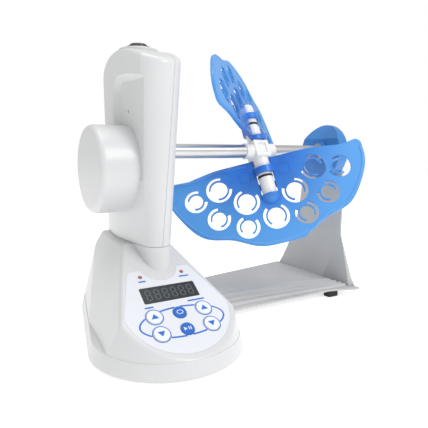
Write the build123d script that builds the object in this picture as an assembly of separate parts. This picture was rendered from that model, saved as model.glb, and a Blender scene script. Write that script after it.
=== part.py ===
from build123d import *
import os
from math import atan, cos, degrees, radians, sin, sqrt, tan

os.makedirs("parts", exist_ok=True)

# Laboratory tube rotator, millimetres.  While it is built, X runs along the rod, Y points to the
# back, Z is up, the rod's axis is at Y = 0 and the table is at Z = 0.  Everything is moved at the
# end so that the origin is under the centre of the whole machine.

# ---- driving dimensions -------------------------------------------------------------------
GAP = 0.3                      # clearance between separate moulded pieces
WALL = 2.5                     # moulded wall
ROD_Z = 183.0                  # height of the rod's axis
ROD_RADIUS = 8.0
ROD_START, ROD_END = -9.0, 272.0
RUNNING_GAP = 0.06             # radial running clearance of the bushes

SEAM_Z = 92.6                  # groove between base and tower
SECTION_TOP_Z = 262.0          # height at which the tower's upper section is given
TOWER_TOP_Z = 281.5
TOWER_EDGE_RADIUS = 6.0

BASE_BOTTOM_Z = 2.0
FOOT_HEIGHT = 2.0
FRONT_CENTRE_Y, FRONT_RADIUS = -77.0, 72.0
REAR_CENTRE_Y, REAR_RADIUS = 64.0, 41.6
DRAFT = 13.5                   # degrees, skirt of the base
SKIRT_Z = 15.0                 # top of the unbroken skirt
SKIRT_LEDGE = 0.5              # how far the skirt stands out from the body above it
PANEL_TILT = 33.3              # degrees
PANEL_LIP = (0.0, -141.6, 17.7)

DRUM_Y, DRUM_Z = -6.0, 165.0
DRUM_RADIUS, DRUM_FACE_X = 43.5, -49.4
MOTOR_Z = 165.0
MODULE = 0.75
PINION_TEETH, WHEEL_TEETH = 12, 36

SHEET = 2.0                    # stand sheet
PLATE_TOP_Z = 10.0
UPRIGHT_X = 277.0

HUB_X = 160.2
HUB_SIZE = 22.0
SPOKE_ANGLE = 63.0             # degrees from the horizontal, seen along the rod
ROOT_RADIUS, TIP_RADIUS = 9.5, 8.8
SPOKE_STEP, SPOKE_LENGTH = 30.0, 62.0

LOWER_TWIST, UPPER_TWIST = -32.8, -39.0
FAN_THICKNESS = 3.0
FAN_EDGE = 11.6                # inner edge of a fan, from the rod's axis
SMALL_CLIP = (13.8, 10.2, 8.3)     # radii: clearance hole, outside of the arms, tube seat
BIG_CLIP = (15.6, 12.1, 10.3)
CLIPS = [                           # across, along the spoke, size
    (87.6, 43.4, SMALL_CLIP),
    (57.7, 36.2, BIG_CLIP),
    (29.3, 59.0, BIG_CLIP),
    (65.8, 70.9, SMALL_CLIP),
    (35.0, 88.8, SMALL_CLIP),
    (0.0, 83.8, BIG_CLIP),
]

nodes = {}


# ---- helpers ------------------------------------------------------------------------------
def box(x, y, z):
    """Box from three (low, high) pairs."""
    low = (x[0], y[0], z[0])
    size = (x[1] - x[0], y[1] - y[0], z[1] - z[0])
    return Pos(*low) * Box(*size, align=(Align.MIN, Align.MIN, Align.MIN))


def along_x(radius, start, end, y, z):
    """Cylinder along X between two places."""
    place = Pos((start + end) / 2, y, z) * Rot(0, 90, 0)
    return place * Cylinder(radius, end - start)


def upright_pin(radius, bottom, top, x, y):
    """Cylinder along Z between two heights."""
    return Pos(x, y, (bottom + top) / 2) * Cylinder(radius, top - bottom)


def cut_away(shape, point, normal):
    """Keep what lies behind a plane."""
    return split(shape, bisect_by=Plane(origin=point, z_dir=normal), keep=Keep.BOTTOM)


def above(shape, height):
    """Keep what lies above a height."""
    return split(shape, bisect_by=Plane.XY.offset(height), keep=Keep.TOP)


def closed_face(*edges):
    """Face inside a closed run of edges."""
    return make_face(Wire(list(edges)).edges())


def screw_z(radius, head_radius, bottom, head_bottom, head_top, x, y, up=True):
    """Pan head screw along Z with a recessed socket."""
    shank = upright_pin(radius, bottom, head_bottom, x, y)
    head = upright_pin(head_radius, head_bottom, head_top, x, y)
    mouth = head_top if up else head_bottom
    socket = Pos(x, y, mouth) * Box(0.9, 2 * head_radius - 2, 1.6)
    return shank + head - socket


# ---- base ---------------------------------------------------------------------------------
def teardrop(shrink):
    """Footprint: a large front circle and a smaller rear one joined by their tangents."""
    front, rear = FRONT_RADIUS - shrink, REAR_RADIUS - shrink
    lean = (FRONT_RADIUS - REAR_RADIUS) / (REAR_CENTRE_Y - FRONT_CENTRE_Y)
    side = sqrt(1 - lean * lean)
    front_y, rear_y = FRONT_CENTRE_Y + front * lean, REAR_CENTRE_Y + rear * lean
    return closed_face(
        Line((front * side, front_y), (rear * side, rear_y)),
        ThreePointArc((rear * side, rear_y), (0, REAR_CENTRE_Y + rear), (-rear * side, rear_y)),
        Line((-rear * side, rear_y), (-front * side, front_y)),
        ThreePointArc((-front * side, front_y), (0, FRONT_CENTRE_Y - front), (front * side, front_y)),
    )


def tower_section(points, z):
    """Closed section of the tower: front, right side, rear and left side arcs."""
    fl, fm, fr, right, rr, rm, rl, left = points
    face = closed_face(
        ThreePointArc(fl, fm, fr),
        ThreePointArc(fr, right, rr),
        ThreePointArc(rr, rm, rl),
        ThreePointArc(rl, left, fl),
    )
    return Pos(0, 0, z) * face


def tower_points(t, inset):
    """Points of the section at the seam (t = 0) and at the upper section (t = 1)."""
    low = [(-9.5, -54), (3.5, -63.3), (15.5, -55), (17.5, -10), (9, 64), (0.5, 69), (-8, 64), (-15, -10)]
    high = [(-13.5, -56.5), (9, -68), (27.5, -57), (30.5, -10), (17, 58), (3.5, 64), (-11, 58), (-18, -10)]
    inward = [(1, 1), (0, 1), (-1, 1), (-1, 0), (-1, -1), (0, -1), (1, -1), (1, 0)]
    return [
        (a[0] + t * (b[0] - a[0]) + inset * i[0], a[1] + t * (b[1] - a[1]) + inset * i[1])
        for a, b, i in zip(low, high, inward)
    ]


def tower_block(inset):
    """Solid tower from the seam to its domed top."""
    low, high = SEAM_Z, TOWER_TOP_Z + 8
    t_high = (high - SEAM_Z) / (SECTION_TOP_Z - SEAM_Z)
    block = loft([tower_section(tower_points(0, inset), low), tower_section(tower_points(t_high, inset), high)],
                 ruled=True)
    profile = closed_face(
        Line((-90, low - 1), (-90, 250 - inset)),
        ThreePointArc((-90, 250 - inset), (-8, TOWER_TOP_Z - inset), (44, 275 - inset)),
        ThreePointArc((44, 275 - inset), (57, 268 - inset), (75, 240 - inset)),
        Line((75, 240 - inset), (75, low - 1)),
        Line((75, low - 1), (-90, low - 1)),
    )
    dome = Pos(-60, 0, 0) * extrude(Plane.YZ * profile, amount=120)
    return block & dome


def rounded_tower():
    """Outside of the tower with its upright and top edges rounded."""
    tower = tower_block(0)
    upright = [e for e in tower.edges() if e.bounding_box().min.Z < SEAM_Z + 1 and e.bounding_box().max.Z > 220]
    tower = fillet(upright, TOWER_EDGE_RADIUS)
    return fillet([e for e in tower.edges() if e.bounding_box().min.Z > 225], TOWER_EDGE_RADIUS)


def panel_plane(lift=0.0):
    """Plane of the control panel, Y up its slope, lifted along its normal."""
    tilt = radians(PANEL_TILT)
    normal = Vector(0, -sin(tilt), cos(tilt))
    return Plane(origin=Vector(*PANEL_LIP) + normal * lift, x_dir=(1, 0, 0), z_dir=normal)


def base_body(inset, bottom):
    """Base without its neck: tapered teardrop cut by the panel, the side facets and the back."""
    top = SEAM_Z - 1.2 - inset
    slope = tan(radians(DRAFT))
    body = loft([Pos(0, 0, z) * teardrop(inset + slope * z) for z in (bottom, top)], ruled=True)
    panel = panel_plane(-inset)
    body = cut_away(body, panel.origin, panel.z_dir)
    for side in (-1, 1):
        normal = Vector(side * 0.914, 0.094, 0.395).normalized()
        body = cut_away(body, Vector(side * 52, 0, 22) - normal * inset, normal)
    back = Vector(0, 0.848, 0.530).normalized()
    return cut_away(body, Vector(0, 106, 30) - back * inset, back)


def skirt_block(inset, bottom, top):
    """Unbroken lower band of the base."""
    slope = tan(radians(DRAFT))
    return loft([Pos(0, 0, z) * teardrop(inset + slope * z) for z in (bottom, top)], ruled=True)


def neck_block(inset, bottom, top):
    """Straight neck with the tower's lowest section."""
    return extrude(tower_section(tower_points(0, inset), bottom), amount=top - bottom)


def round_panel_rim(body, radius):
    """Round the edges around the panel, the side facets and the back."""
    edges = [e for e in body.edges() if e.center().Z > 14 and e.bounding_box().min.Z > BASE_BOTTOM_Z + 3]
    return fillet(edges, radius)


def panel_cut(sketch, top, bottom):
    """Prism of a panel sketch between two depths, measured along the panel's normal."""
    return extrude(panel_plane(bottom) * sketch, amount=top - bottom)


def film_outline(shrink=0.0):
    """Film: round at the bottom, narrowing upwards, with a notch for the neck."""
    wide, low, top = 50.4 - shrink, 2 + shrink, 98.2 - shrink
    right = [(wide, 47), (31.3 - shrink, top), (18 + shrink, top)]
    face = closed_face(
        ThreePointArc((-wide, 47), (0, low), (wide, 47)),
        Line(right[0], right[1]),
        Line(right[1], right[2]),
        ThreePointArc(right[2], (0, 83.2 - shrink), (-18 - shrink, top)),
        Line((-18 - shrink, top), (-31.3 + shrink, top)),
        Line((-31.3 + shrink, top), (-wide, 47)),
    )
    corners = face.vertices().filter_by(lambda v: v.Y > 90 and abs(v.X) > 25)
    face = fillet(corners, 4)
    shoulders = face.vertices().filter_by(lambda v: abs(v.Y - 47) < 0.1)
    return fillet(shoulders, 12)


KEY_RADIUS = {"arrow": 6.9, "round": 6.2}
KEYS = [(-24, 43.7, "arrow"), (24, 43.7, "arrow"), (-24, 25.8, "arrow"), (24, 25.8, "arrow"),
        (0, 43.7, "round"), (0, 25.8, "round")]
DISPLAY = (0, 67.6, 54.4, 17.7)
LIGHTS = [(-21.2, 90), (21.2, 90)]
FILM = 0.5
KEY_TRAVEL = 0.6


def panel_holes(extra):
    """Sketch of everything that passes through the panel."""
    x, y, width, height = DISPLAY
    holes = Pos(x, y) * RectangleRounded(width + 2 * extra, height + 2 * extra, 1.5)
    for x, y, kind in KEYS:
        holes += Pos(x, y) * Circle(KEY_RADIUS[kind] + extra)
    for x, y in LIGHTS:
        holes += Pos(x, y) * Circle(1.75 + extra)
    return holes


def make_base():
    outer = above(round_panel_rim(base_body(0, BASE_BOTTOM_Z), 5), SKIRT_Z)
    housing = outer + skirt_block(-SKIRT_LEDGE, BASE_BOTTOM_Z, SKIRT_Z) + neck_block(0, 40, SEAM_Z - 0.4)
    hollow = above(base_body(WALL, 0), SKIRT_Z - WALL) + skirt_block(WALL - SKIRT_LEDGE, 0, SKIRT_Z - WALL)
    hollow += neck_block(WALL, 38, SEAM_Z + 1)
    housing -= hollow
    housing -= panel_cut(film_outline(), 4, -FILM)
    housing -= panel_cut(panel_holes(GAP), 4, -12)
    housing -= box((15, 95), (-50.6, 78), (PLATE_TOP_Z - SHEET - 0.3, PLATE_TOP_Z + 0.3))
    housing -= Pos(0, 101, 26) * Box(14.6, 30, 10.6)
    nodes["base_housing"] = housing
    nodes["panel_film"] = panel_cut(film_outline(0.15) - panel_holes(GAP), 0, -FILM)
    x, y, width, height = DISPLAY
    nodes["display_window"] = panel_cut(Pos(x, y) * RectangleRounded(width, height, 1.4), -0.1, -1.5)
    nodes["display_module"] = panel_cut(Pos(x, y) * Rectangle(width - 1, height - 1), -1.6, -8)
    board = panel_cut(Pos(0, 56) * Rectangle(76, 68), -9, -10.6)
    nodes["control_board"] = board
    lights = [panel_cut(Pos(x, y) * Circle(1.6), 0.3, -8.9) for x, y in LIGHTS]
    nodes["status_lights"] = Compound(children=[solid for light in lights for solid in light.solids()])
    for number, (x, y, kind) in enumerate(KEYS, start=1):
        key = panel_cut(Pos(x, y) * Circle(KEY_RADIUS[kind]), 1.0, -4.2)
        rim = [e for e in key.edges().filter_by(GeomType.CIRCLE) if panel_plane().to_local_coords(e.center()).Z > 0.5]
        key = fillet(rim, 0.5)
        stem = panel_cut(Pos(x, y) * Circle(2.0), -4.2, -8.2)
        nodes[f"key_{number}"] = key + stem


def make_cover():
    slope = tan(radians(DRAFT))
    cover = Pos(0, 0, BASE_BOTTOM_Z) * extrude(teardrop(WALL + slope * BASE_BOTTOM_Z + 1.2), amount=2.4)
    deck = BASE_BOTTOM_Z + 2.4
    bosses = [(22, -35), (22, 45), (40, 5)]
    for x, y in bosses:
        cover += upright_pin(6, deck, PLATE_TOP_Z - SHEET, x, y)
    for x, y in bosses:
        cover -= upright_pin(2.05, BASE_BOTTOM_Z + 0.6, PLATE_TOP_Z, x, y)
    posts = [(-30, -95), (-12, 78)]
    for x, y in posts:
        cover -= upright_pin(1.8, 0, 8, x, y)
    nodes["base_cover"] = cover
    screws = [screw_z(2.0, 3.6, BASE_BOTTOM_Z + 0.7, PLATE_TOP_Z, PLATE_TOP_Z + 2.4, x, y) for x, y in bosses]
    nodes["stand_screws"] = Compound(children=[s for screw in screws for s in screw.solids()])
    feet = [(-42, -98), (42, -98), (-24, 72), (24, 72)]
    pads = [upright_pin(8, 0, FOOT_HEIGHT, x, y) for x, y in feet]
    nodes["base_feet"] = Compound(children=[s for pad in pads for s in pad.solids()])
    caps = [upright_pin(1.7, 2.0, 7.5, x, y) + upright_pin(3.2, 0.6, 2.0, x, y) for x, y in posts]
    nodes["cover_screws"] = Compound(children=[s for cap in caps for s in cap.solids()])


def make_inlet():
    """Low-voltage power inlet in the back of the base."""
    inlet = Pos(0, 96, 26) * Box(14, 16, 10)
    inlet -= Pos(0, 104, 26) * Rot(90, 0, 0) * Cylinder(3.6, 16)
    nodes["power_inlet"] = inlet + Pos(0, 100, 26) * Rot(90, 0, 0) * Cylinder(1.1, 8)


# ---- tower --------------------------------------------------------------------------------
PARTING_LOW, PARTING_HIGH = (3.4, SEAM_Z), (16.8, 255.0)


def parting_plane(offset):
    lean = (PARTING_HIGH[0] - PARTING_LOW[0]) / (PARTING_HIGH[1] - PARTING_LOW[1])
    normal = Vector(1, 0, -lean).normalized()
    return Plane(origin=Vector(PARTING_LOW[0], 0, PARTING_LOW[1]) + normal * offset, z_dir=normal)


RECESS_X = -10.8               # floor of the scoop in the left face
COLLAR_X, COLLAR_Y, COLLAR_RADIUS = 7.0, -3.0, 20.0
BUTTON_RADIUS = 13.5
BUTTON_TRAVEL = 2.0
COLLAR_TOP_Z = 284.0


def recess(margin=0.0):
    """Cutter of the scoop in the left face above the drum, its floor edge sloped."""
    back, top = 9 + margin, 256 + margin
    outline = closed_face(
        Line((-90, 150), (back, 150)),
        Line((back, 150), (back, 238)),
        ThreePointArc((back, 238), (back - 5, top - 5), (back - 18, top)),
        Line((back - 18, top), (-90, top - 2)),
        Line((-90, top - 2), (-90, 150)),
    )
    cutter = Pos(-60, 0, 0) * extrude(Plane.YZ * outline, amount=60 + RECESS_X + margin)
    floor_edges = cutter.edges().filter_by_position(Axis.X, RECESS_X + margin - 0.1, RECESS_X + margin + 0.1)
    return chamfer(floor_edges.filter_by_position(Axis.Y, -89, 60), 6.5)


def make_tower():
    drum = along_x(DRUM_RADIUS, DRUM_FACE_X, -4, DRUM_Y, DRUM_Z)
    rim = drum.edges().filter_by(GeomType.CIRCLE).sort_by(Axis.X)[0]
    drum = fillet([rim], 6)
    outer = rounded_tower() - recess() + drum
    outer += along_x(36, 10, 26.5, DRUM_Y, DRUM_Z)
    hollow = tower_block(WALL)
    hollow -= recess(WALL)
    hollow += along_x(DRUM_RADIUS - WALL, DRUM_FACE_X + WALL, -2, DRUM_Y, DRUM_Z)
    shell = outer - hollow - (neck_block(WALL, SEAM_Z - 1, SEAM_Z + 8))
    shell -= upright_pin(COLLAR_RADIUS + 0.1, 270, 300, COLLAR_X, COLLAR_Y)
    shell -= along_x(11.1, 10, 40, 0, ROD_Z)
    shell -= along_x(1.6, -30, RECESS_X + 1.5, -18, 221)
    left = split(shell, bisect_by=parting_plane(-0.15), keep=Keep.BOTTOM)
    right = split(shell, bisect_by=parting_plane(0.15), keep=Keep.TOP)
    nodes["tower_shell_left"] = left
    nodes["tower_shell_right"] = right


def make_top():
    collar = upright_pin(COLLAR_RADIUS, 270, COLLAR_TOP_Z, COLLAR_X, COLLAR_Y)
    collar = fillet(collar.edges().filter_by(GeomType.CIRCLE).group_by(Axis.Z)[-1], 1.5)
    collar -= upright_pin(BUTTON_RADIUS + GAP, 274, 300, COLLAR_X, COLLAR_Y)
    collar -= upright_pin(3.4, 260, 300, COLLAR_X, COLLAR_Y)
    nodes["top_collar"] = collar
    flange = upright_pin(BUTTON_RADIUS, 280, 286.4, COLLAR_X, COLLAR_Y)
    flange = fillet(flange.edges().filter_by(GeomType.CIRCLE).group_by(Axis.Z)[-1], 1.2)
    crown = upright_pin(9.2, 286.4, 289.6, COLLAR_X, COLLAR_Y)
    crown = fillet(crown.edges().filter_by(GeomType.CIRCLE).group_by(Axis.Z)[-1], 2.4)
    stem = upright_pin(3.0, 266, 280, COLLAR_X, COLLAR_Y)
    nodes["top_button"] = flange + crown + stem


# ---- drive --------------------------------------------------------------------------------
def gear(teeth, start, end, y, z, turn):
    """Straight-toothed wheel along X, its teeth as trapeziums."""
    pitch = MODULE * teeth / 2
    root, tip = pitch - 1.25 * MODULE, pitch + 0.9 * MODULE
    step = 360 / teeth
    wheel = Circle(root)
    half_root, half_tip = 1.15 * MODULE, 0.42 * MODULE
    tooth = Polygon((root - 0.5, -half_root), (tip, -half_tip), (tip, half_tip), (root - 0.5, half_root),
                    align=None)
    for index in range(teeth):
        wheel += Rot(0, 0, index * step + turn) * tooth
    solid = extrude(Plane.YZ * wheel, amount=end - start)
    return Pos(start, y, z) * solid


def make_drive():
    motor = along_x(18, -44, -15, 0, MOTOR_Z) + along_x(6, -15, -13, 0, MOTOR_Z)
    nodes["motor"] = motor - along_x(2.9, -20, -12, 0, MOTOR_Z)
    frame = box((-7.9, -5.7), (-24, 16), (142, 205))
    frame -= along_x(6.2, -14, -5, 0, MOTOR_Z)
    frame -= along_x(ROD_RADIUS + RUNNING_GAP, -14, -5, 0, ROD_Z)
    nodes["drive_frame"] = frame
    wheel = gear(WHEEL_TEETH, -5, 3, 0, ROD_Z, 0)
    wheel += along_x(11.5, 3, 8, 0, ROD_Z)
    nodes["rod_gear"] = wheel - along_x(ROD_RADIUS + 0.02, -8, 12, 0, ROD_Z)
    pinion = gear(PINION_TEETH, -4.5, 2.5, 0, MOTOR_Z, 15)
    nodes["motor_pinion"] = pinion + along_x(2.5, -19, -4.5, 0, MOTOR_Z)
    bush = along_x(11, 12, 27.5, 0, ROD_Z)
    nodes["tower_bush"] = bush - along_x(ROD_RADIUS + RUNNING_GAP, 10, 30, 0, ROD_Z)


# ---- stand --------------------------------------------------------------------------------
def make_stand():
    plan = Polygon((12, -50), (238, -50), (256, -56), (270, -62), (UPRIGHT_X + SHEET, -62),
                   (UPRIGHT_X + SHEET, 106), (259.7, 101.8), (133.5, 82), (12, 60), align=None)
    plate = Pos(0, 0, PLATE_TOP_Z - SHEET) * extrude(plan, amount=SHEET)
    side = closed_face(
        Line((-62, 8), (-54, 10)),
        ThreePointArc((-54, 10), (-37, 38), (-28, 100)),
        Line((-28, 100), (-25, 190)),
        ThreePointArc((-25, 190), (11, 206), (47, 190)),
        Line((47, 190), (49, 150)),
        ThreePointArc((49, 150), (64, 75), (98, 11)),
        Line((98, 11), (106, 8)),
        Line((106, 8), (-62, 8)),
    )
    upright = Pos(UPRIGHT_X, 0, 0) * extrude(Plane.YZ * side, amount=SHEET, dir=(1, 0, 0))
    stand = plate + upright
    for x, y in [(22, -35), (22, 45), (40, 5)]:
        stand -= upright_pin(2.05, 5, 12, x, y)
    for y, z in HOLDER_SCREWS:
        stand -= along_x(2.05, 270, 285, y, z)
    nodes["stand"] = stand
    feet = [box((238, 254), (y, y + 11), (0, PLATE_TOP_Z - SHEET)) for y in (-49.5, 84)]
    feet = [fillet(foot.edges().filter_by(Axis.Z), 2) for foot in feet]
    nodes["stand_feet"] = Compound(children=[s for foot in feet for s in foot.solids()])


HOLDER_Y, HOLDER_Z, HOLDER_RADIUS = 0.0, 183.0, 35.0
HOLDER_FRONT_X = 262.0
HOLDER_SCREWS = [(-18, 172), (18, 172), (0, 163)]


def make_holder():
    holder = along_x(HOLDER_RADIUS, HOLDER_FRONT_X, UPRIGHT_X, HOLDER_Y, HOLDER_Z)
    holder = cut_away(holder, (HOLDER_FRONT_X, 0, 200), Vector(-1, 0, 0.55).normalized())
    holder += along_x(13, 257, 264, 0, ROD_Z)
    holder -= along_x(11.05, 250, 273, 0, ROD_Z)
    for y, z in HOLDER_SCREWS:
        holder -= along_x(2.05, 268, 280, y, z)
    nodes["end_holder"] = holder
    bush = along_x(11, 258, 273, 0, ROD_Z)
    nodes["end_bush"] = bush - along_x(ROD_RADIUS + RUNNING_GAP, 250, 280, 0, ROD_Z)
    back = UPRIGHT_X + SHEET
    screws = [along_x(2.0, 268.5, back, y, z) + along_x(3.6, back, back + 2.4, y, z) for y, z in HOLDER_SCREWS]
    nodes["holder_screws"] = Compound(children=[s for screw in screws for s in screw.solids()])


# ---- rotor --------------------------------------------------------------------------------
def spoke_frame(lower):
    """Frame at the rod's axis with Y along the spoke and X across it, parallel to the rod."""
    turn = 180 + SPOKE_ANGLE if lower else SPOKE_ANGLE
    direction = Vector(0, cos(radians(turn)), sin(radians(turn)))
    return Plane(origin=(HUB_X, 0, ROD_Z), x_dir=(1, 0, 0), z_dir=Vector(1, 0, 0).cross(direction))


def fan_frame(lower):
    """Frame of a fan: Y along its spoke, X across the fan, Z out of its back."""
    base = spoke_frame(lower)
    twist = LOWER_TWIST if lower else UPPER_TWIST
    across = base.x_dir * cos(radians(twist)) + base.z_dir * sin(radians(twist))
    return Plane(origin=base.origin, x_dir=across, z_dir=across.cross(base.y_dir))


def pin_along_spoke(radius, start, end):
    """Cylinder along a spoke in its own frame."""
    return Pos(0, (start + end) / 2, 0) * Rot(90, 0, 0) * Cylinder(radius, end - start)


def spoke_shape():
    tip = pin_along_spoke(TIP_RADIUS, SPOKE_STEP, SPOKE_LENGTH)
    end_edge = tip.edges().filter_by(GeomType.CIRCLE).sort_by(Axis.Y)[-1]
    tip = fillet([end_edge], 4)
    root = pin_along_spoke(ROOT_RADIUS, HUB_SIZE / 2, SPOKE_STEP)
    spoke = root + tip
    spoke -= Pos(0, 20, 0) * Rot(90, 0, 0) * (Cylinder(12, 0.8) - Cylinder(ROOT_RADIUS - 0.5, 0.8))
    groove = Pos(0, 34.5, 0) * Rot(90, 0, 0) * (Cylinder(12, 2.8) - Cylinder(TIP_RADIUS - 1.2, 2.8))
    return spoke - groove


def fan_outline(inset=0.0):
    """Half outline of a fan, mirrored, as a smooth outer curve and a nearly straight inner edge."""
    outer = [(121, 26), (119.5, 42), (107, 67), (84, 91.5), (57, 99.5), (30, 113), (0, 116.5)]
    inner = [(0, FAN_EDGE), (43, FAN_EDGE), (61, 12.2), (86, 16), (103, 17.5), (116, 15.5)]
    right = Spline(outer, tangents=[(0, 1), (-1, 0)])
    left = Spline([(-x, y) for x, y in reversed(outer)], tangents=[(-1, 0), (0, -1)])
    lower = Spline(inner[1:], tangents=[(1, 0), (1, 0)])
    lower_left = Spline([(-x, y) for x, y in reversed(inner[1:])], tangents=[(1, 0), (1, 0)])
    corner = ThreePointArc((116, 15.5), (119.6, 18.5), (121, 26))
    corner_left = ThreePointArc((-121, 26), (-119.6, 18.5), (-116, 15.5))
    return closed_face(right, left, corner_left, lower_left, Line((-43, FAN_EDGE), (43, FAN_EDGE)), lower, corner)


def sector(x, y, toward, half_angle, radius):
    """Pie slice from (x, y), centred on a direction in degrees."""
    reach = radius / cos(radians(half_angle))
    points = [(0, 0)]
    for turn in (toward - half_angle, toward, toward + half_angle):
        length = radius * 1.4 if turn == toward else reach
        points.append((length * cos(radians(turn)), length * sin(radians(turn))))
    return Pos(x, y) * Polygon(*points, align=None)


def clip_cut(x, y, radii):
    """Everything missing at one clip: clearance, tube seat and mouth, less the two arms."""
    clear, arm, seat = radii
    toward_hub = degrees(atan(y / x)) + 180 if x > 0 else degrees(atan(y / x)) if x < 0 else -90
    arms = Pos(x, y) * (Circle(arm) - Circle(seat)) - sector(x, y, toward_hub + 180, 42, clear)
    root = (Pos(x, y) * (Circle(clear) - Circle(seat))) & sector(x, y, toward_hub, 38, clear + 1)
    return Pos(x, y) * Circle(clear) - arms - root


def clip_places():
    for x, y, radii in CLIPS:
        yield x, y, radii
        if x > 0:
            yield -x, y, radii


def fan_shape():
    """Fan in its own frame: plate, rim, clips, slot, half collars and the cap over the spoke's tip."""
    plate = Pos(0, 0, -FAN_THICKNESS / 2) * extrude(fan_outline(), amount=FAN_THICKNESS)
    for x, y, radii in clip_places():
        plate -= Pos(0, 0, -5) * extrude(clip_cut(x, y, radii), amount=10)
    slot = box((-10, 10), (0, 56), (-6, 6))
    plate -= slot
    half = box((-20, 20), (0, 80), (-20, -1.4))
    other_half = box((-20, 20), (0, 80), (1.4, 20))
    front_collar = (pin_along_spoke(12.6, 23, 31) - pin_along_spoke(ROOT_RADIUS + GAP, 20, 34)) & half
    cap = (Pos(0, 57, 0) * Sphere(11.8) & box((-20, 20), (57, 80), (-20, -1.4)))
    back_collars = pin_along_spoke(12.6, 11.5, 17.5) + pin_along_spoke(11.8, 41, 48)
    back_collars = back_collars & other_half
    fan = plate + front_collar + cap + back_collars
    fan -= pin_along_spoke(ROOT_RADIUS + GAP, 8, SPOKE_STEP + GAP)
    return fan - pin_along_spoke(TIP_RADIUS + GAP, 20, SPOKE_LENGTH + GAP)


def make_rotor():
    nodes["rod"] = along_x(ROD_RADIUS, ROD_START, ROD_END, 0, ROD_Z)
    lower = spoke_frame(True)
    block = Box(HUB_SIZE, HUB_SIZE, HUB_SIZE)
    block = fillet(block.edges(), 2)
    collars = Rot(0, 90, 0) * Cylinder(ROD_RADIUS + 1.5, 43)
    collars = fillet(collars.edges().filter_by(GeomType.CIRCLE), 1.2)
    hub = block + collars
    for side in (-1, 1):
        hub -= Pos(0, 0, side * (HUB_SIZE / 2 - 0.7)) * Box(11, 13, 1.6)
    hub -= Rot(0, 90, 0) * Cylinder(ROD_RADIUS + 0.02, 60)
    nodes["hub_block"] = lower.location * hub
    ring = Pos(0, 34.5, 0) * Rot(90, 0, 0) * (Cylinder(9.1, 2.6) - Cylinder(TIP_RADIUS - 1.15, 2.6))
    for name, is_lower in (("lower", True), ("upper", False)):
        frame = spoke_frame(is_lower)
        nodes[f"spoke_{name}"] = frame.location * spoke_shape()
        nodes[f"o_ring_{name}"] = frame.location * ring
        nodes[f"fan_{name}"] = fan_frame(is_lower).location * fan_shape()


# ---- build and write ----------------------------------------------------------------------
make_base()
make_cover()
make_inlet()
make_tower()
make_top()
make_drive()
make_stand()
make_holder()
make_rotor()

whole = Compound(children=[Compound(children=list(shape.solids())) for shape in nodes.values()]).bounding_box()
shift = Pos(-(whole.min.X + whole.max.X) / 2, -(whole.min.Y + whole.max.Y) / 2, -whole.min.Z)
print("shift", shift.position, "size", whole.size)
for name, shape in nodes.items():
    moved = [shift * solid for solid in shape.solids()]
    export_step(moved[0] if len(moved) == 1 else Compound(children=moved), f"parts/{name}.step")
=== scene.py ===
"""Looks of a laboratory tube rotator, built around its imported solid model.

Every place is worked out from the frame: the rod gives the machine's own axes, and sizes are
metres unless a name says otherwise.
"""

import logging
import math
from collections.abc import Iterable
from dataclasses import dataclass, field
from enum import Enum

import bpy
from mathutils import Matrix, Vector

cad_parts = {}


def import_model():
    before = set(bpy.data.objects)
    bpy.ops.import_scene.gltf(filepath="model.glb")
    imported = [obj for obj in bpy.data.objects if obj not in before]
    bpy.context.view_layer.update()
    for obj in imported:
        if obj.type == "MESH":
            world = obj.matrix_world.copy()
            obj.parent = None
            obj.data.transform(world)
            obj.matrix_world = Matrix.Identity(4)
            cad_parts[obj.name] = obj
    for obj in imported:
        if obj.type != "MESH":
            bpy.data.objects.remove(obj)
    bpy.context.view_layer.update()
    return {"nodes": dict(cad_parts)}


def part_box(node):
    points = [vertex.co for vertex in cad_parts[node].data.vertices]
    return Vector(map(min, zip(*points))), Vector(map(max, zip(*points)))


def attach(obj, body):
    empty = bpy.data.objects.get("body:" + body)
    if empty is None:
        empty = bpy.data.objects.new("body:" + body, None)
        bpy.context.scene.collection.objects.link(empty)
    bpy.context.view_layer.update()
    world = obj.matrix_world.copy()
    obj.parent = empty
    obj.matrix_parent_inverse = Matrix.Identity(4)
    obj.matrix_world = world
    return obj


log = logging.getLogger("tube_rotator")

MM = 0.001
Point = tuple[float, float, float]
Colour = tuple[float, float, float]
Nodes = bpy.types.Nodes
Links = bpy.types.NodeLinks
Node = bpy.types.Node
Socket = bpy.types.NodeSocket

CLOUD_SCALE = 22.0          # about one soft cloud of colour per 45 mm
GRAIN_RELIEF = 0.4 * MM
GLOSS_SPREAD = 0.06
BRUSH_STRETCH = 0.04        # drawn lines run along the rod
# painted light: the fans' blue is painted paler between these distances from the hub
PAINTED_LIGHT_FROM, PAINTED_LIGHT_TO = 25 * MM, 115 * MM
TUBE_SIDES = 12
ARM_STEPS = 40
RIB_STEPS = 30
CORNER_STEPS = 6


class Side(Enum):
    """Which of the two fans a piece belongs to."""

    LOWER = "lower"
    UPPER = "upper"


class Grain(Enum):
    """Kind of surface texture of a finish."""

    MOULDED = "moulded"
    BRUSHED = "brushed"
    SPRAYED = "sprayed"


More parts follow.
